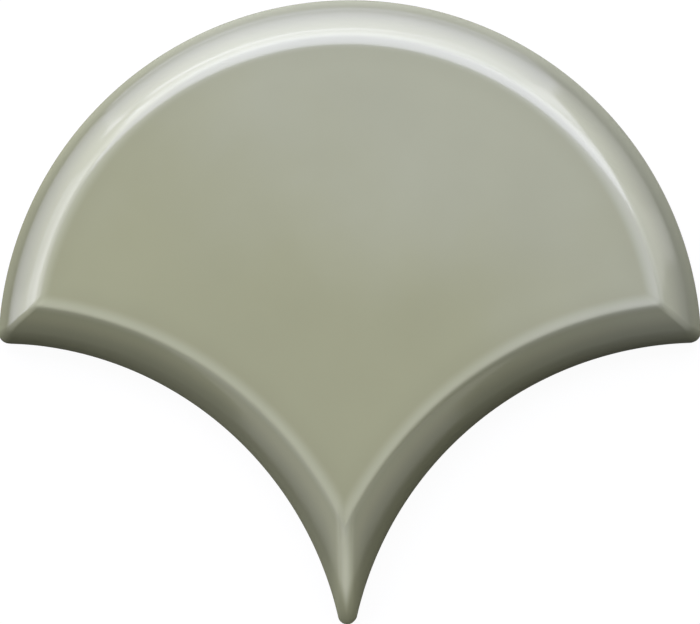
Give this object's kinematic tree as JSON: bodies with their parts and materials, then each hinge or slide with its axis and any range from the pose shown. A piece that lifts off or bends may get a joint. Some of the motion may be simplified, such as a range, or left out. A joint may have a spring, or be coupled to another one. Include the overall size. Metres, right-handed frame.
{
  "type": "fish scale tile",
  "caption": "Glazed ceramic wall tile shaped like a fish scale, with an arched crown, hollow lower sides and a bevelled face, laid in interlocking rows.",
  "frame": {"origin": "centre of the crown arc, on the plane of the back", "axes": "+Z out of the glazed face, +X across the width, +Y from the point towards the top of the crown"},
  "size_m": [0.1498, 0.1329, 0.011],
  "materials": {
    "glaze": "gloss sage green glaze over pressed clay, bare biscuit on the back"
  },
  "bodies": {
    "root": {"fish_scale_tile": "glaze"}
  },
  "joints": []
}
